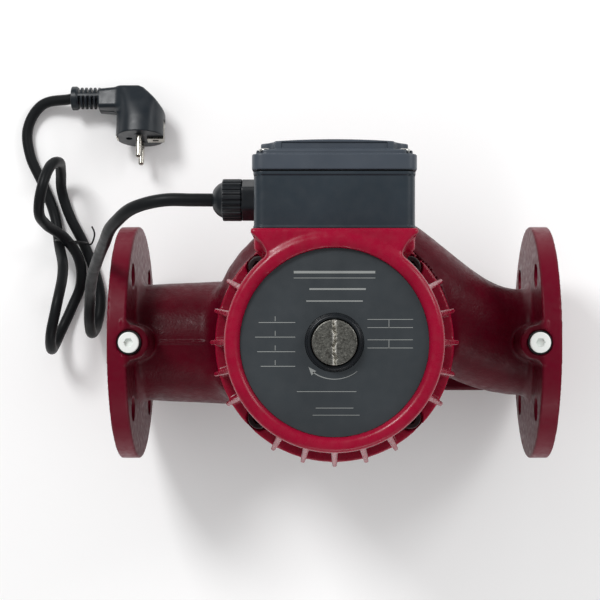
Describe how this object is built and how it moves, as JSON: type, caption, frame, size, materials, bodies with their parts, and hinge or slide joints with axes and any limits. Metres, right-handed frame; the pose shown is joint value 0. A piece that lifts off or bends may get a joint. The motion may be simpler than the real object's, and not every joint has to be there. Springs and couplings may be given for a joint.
{
  "type": "circulator pump",
  "caption": "Wet-rotor circulator pump with in-line pipe flanges, finned red motor housing, side terminal box, vent screw and a mains cord with an angled plug.",
  "frame": {"origin": "on the motor shaft's axis, in the plane of the cast foot's underside", "axes": "+Z along the motor shaft, up from the pump housing to the name plate; +X along the pipe axis from inlet to outlet; +Y towards the terminal box"},
  "size_m": [0.4394, 0.312, 0.3598],
  "materials": {
    "red_enamel": "red enamel on cast iron and aluminium, satin gloss with a fine cast texture",
    "zinc_plug": "bright zinc plated",
    "black_rubber": "matte",
    "bronze": "machined",
    "stainless": "machined",
    "carbon": "machined carbon",
    "lamination": "stacked steel sheets",
    "copper_winding": "varnished copper wire",
    "aluminium": "satin",
    "ceramic": "ground ceramic",
    "label": "satin printed film",
    "black_plastic": "satin moulded",
    "vent_metal": "turned, slightly pitted",
    "slate_plastic": "fine moulded texture",
    "lid_plastic": "fine moulded texture",
    "cream_plastic": "moulded",
    "brown_wire": "insulation",
    "blue_wire": "insulation",
    "green_wire": "insulation",
    "pale_wire": "insulation",
    "cord_rubber": "satin sheath",
    "tie_plastic": "flat plastic twist tie",
    "plug_plastic": "satin moulded",
    "nickel": "nickel plated"
  },
  "bodies": {
    "pump": {"pump_housing": "red_enamel", "gauge_plugs": "zinc_plug", "gauge_plug_seals": "black_rubber", "neck_ring": "bronze", "bearing_plate": "stainless", "front_bearing": "carbon", "housing_o_ring": "black_rubber", "rotor_can": "stainless", "rear_bearing_holder": "stainless", "rear_bearing": "carbon", "stator_core": "lamination", "stator_windings": "copper_winding", "motor_housing": "red_enamel", "motor_bolts": "stainless", "name_plate": "label", "vent_bush": "black_plastic", "box_gasket": "black_rubber", "box_base": "slate_plastic", "box_screws": "stainless", "lid_gasket": "black_rubber", "box_lid": "lid_plastic", "lid_screws": "stainless", "terminal_block": "cream_plastic", "terminal_screws": "bronze", "earth_screw": "bronze", "capacitor": "aluminium", "capacitor_clip": "black_plastic", "wire_live": "brown_wire", "wire_neutral": "blue_wire", "wire_earth": "green_wire", "stator_leads": "pale_wire", "gland_locknut": "black_plastic", "gland_body": "black_plastic", "gland_seal": "black_rubber", "gland_nut": "black_plastic", "cord_sheath_end": "cord_rubber", "power_cord": "cord_rubber", "cord_tie": "tie_plastic", "plug_body": "plug_plastic", "plug_pins": "nickel", "plug_earth_clips": "nickel"},
    "rotor": {"rotor_shaft": "stainless", "rotor_core": "lamination", "rotor_end_rings": "aluminium", "rotor_sleeve": "stainless", "thrust_ring": "ceramic", "impeller": "bronze", "impeller_washer": "stainless", "impeller_nut": "stainless"},
    "vent_washer": {"vent_seal": "black_rubber"},
    "vent_screw": {"vent_plug": "vent_metal"}
  },
  "joints": [
    {"name": "rotor_spin", "type": "hinge", "parent": "pump", "child": "rotor", "pos_m": [0, 0, 0.2], "axis": [0, 0, 1], "continuous": true},
    {"name": "vent_lift", "type": "slide", "parent": "pump", "child": "vent_washer", "axis": [0, 0, 1], "range_m": [0, 0.0038]},
    {"name": "vent_turn", "type": "hinge", "parent": "vent_washer", "child": "vent_screw", "pos_m": [0, 0, 0.35], "axis": [0, 0, 1], "range_deg": [0, 900]}
  ],
  "couplings": [
    {"joint": "vent_lift", "follows": "vent_turn", "m_per_rad": 0.00023873}
  ]
}
